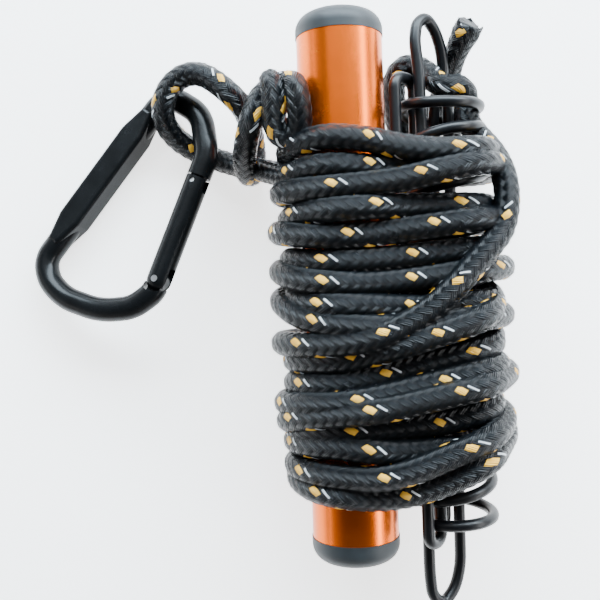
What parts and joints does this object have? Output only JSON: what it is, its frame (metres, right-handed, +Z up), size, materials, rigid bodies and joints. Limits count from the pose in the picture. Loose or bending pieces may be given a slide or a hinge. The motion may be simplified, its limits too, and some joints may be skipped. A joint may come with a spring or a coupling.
{
  "type": "throw line on a float tube",
  "caption": "Braided throw line wound over a capped metal tube and a drawbar shock spring, with a spring-gate carabiner knotted in the line's eye.",
  "frame": {"origin": "on the resting face, below the tube's axis and at half the tube's length", "axes": "+Z up from the surface that the kit lies on, +Y along the tube towards the tied end of the line, +X from the tube towards the shock spring"},
  "size_m": [0.1453, 0.1743, 0.043],
  "materials": {
    "orange_anodised": "orange anodised, satin with long soft highlights",
    "cap_black": "moulded black with a faint blue cast",
    "coated_wire": "gloss black dipped coating over spring wire",
    "rope": "black braided cord with gold and silver tracer yarns",
    "black_anodised": "black anodised, satin",
    "steel": "bright steel"
  },
  "bodies": {
    "root": {"tube": "orange_anodised", "top_cap": "cap_black", "bottom_cap": "cap_black", "coil_spring": "coated_wire", "top_eye_wire": "coated_wire", "rope_winding": "rope", "rope_eye": "rope", "rope_knot": "rope", "rope_hitch": "rope", "rope_tail": "rope", "rope_end_seals": "rope"},
    "bottom_eye": {"bottom_eye_wire": "coated_wire"},
    "carabiner": {"carabiner_frame": "black_anodised", "gate_pin": "steel"},
    "gate": {"gate": "black_anodised", "latch_pin": "steel", "gate_plunger": "steel", "gate_spring": "steel"}
  },
  "joints": [
    {"name": "spring_pull", "type": "slide", "parent": "root", "child": "bottom_eye", "axis": [0, -1, 0], "range_m": [0, 0.025], "stiffness_N_per_m": 9000, "deforming": ["coil_spring"]},
    {"name": "carabiner_swing", "type": "hinge", "parent": "root", "child": "carabiner", "pos_m": [-0.0515, 0.0494, 0.008], "axis": [0, 0, 1], "range_deg": [-15, 15]},
    {"name": "gate_hinge", "type": "hinge", "parent": "carabiner", "child": "gate", "pos_m": [-0.05587, 0.00373, 0.01662], "axis": [-0.2558, 0.2013, 0.9455], "range_deg": [0, 24], "stiffness_Nm_per_rad": 0.08, "springref_deg": -11.46}
  ]
}
